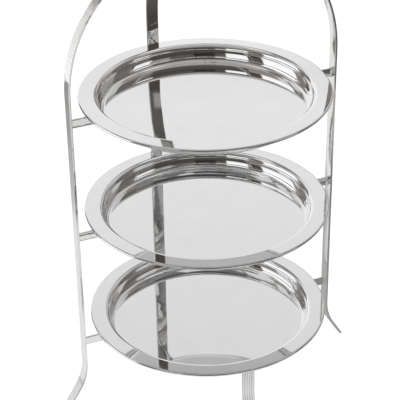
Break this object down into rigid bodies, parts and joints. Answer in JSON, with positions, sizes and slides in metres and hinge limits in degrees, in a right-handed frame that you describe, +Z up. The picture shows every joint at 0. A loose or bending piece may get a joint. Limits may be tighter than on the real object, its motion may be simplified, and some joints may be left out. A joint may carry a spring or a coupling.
{
  "type": "tiered cake stand",
  "caption": "Free-standing cake stand: loose round polished trays with rolled rims, stacked in support rings on a welded arched frame of reeded metal strip with flared feet.",
  "frame": {"origin": "on the floor, at the middle of the bounding box", "axes": "+Z up; +X towards the right leg of the hoop, +Y towards the rear leg; the open side, where the plates are drawn out, faces -Y. The plates' common axis is at x = 0, y = -0.01412"},
  "size_m": [0.35, 0.3218, 0.5373],
  "materials": {
    "polished_plate": "mirror polished",
    "polished_frame": "polished, reeded outer face"
  },
  "bodies": {
    "stand": {"hoop": "polished_frame", "rear_leg": "polished_frame", "front_foot": "polished_frame", "lower_ring": "polished_frame", "middle_ring": "polished_frame", "upper_ring": "polished_frame", "lower_left_bracket": "polished_frame", "lower_right_bracket": "polished_frame", "lower_rear_bracket": "polished_frame", "middle_left_bracket": "polished_frame", "middle_right_bracket": "polished_frame", "middle_rear_bracket": "polished_frame", "upper_left_bracket": "polished_frame", "upper_right_bracket": "polished_frame", "upper_rear_bracket": "polished_frame"},
    "lower_plate": {"lower_plate": "polished_plate"},
    "middle_plate": {"middle_plate": "polished_plate"},
    "upper_plate": {"upper_plate": "polished_plate"}
  },
  "joints": [
    {"name": "lower_plate_lift", "type": "slide", "parent": "stand", "child": "lower_plate", "axis": [0, 0, 1], "range_m": [0, 0.113]},
    {"name": "middle_plate_lift", "type": "slide", "parent": "stand", "child": "middle_plate", "axis": [0, 0, 1], "range_m": [0, 0.113]},
    {"name": "upper_plate_lift", "type": "slide", "parent": "stand", "child": "upper_plate", "axis": [0, 0, 1], "range_m": [0, 0.085]}
  ]
}
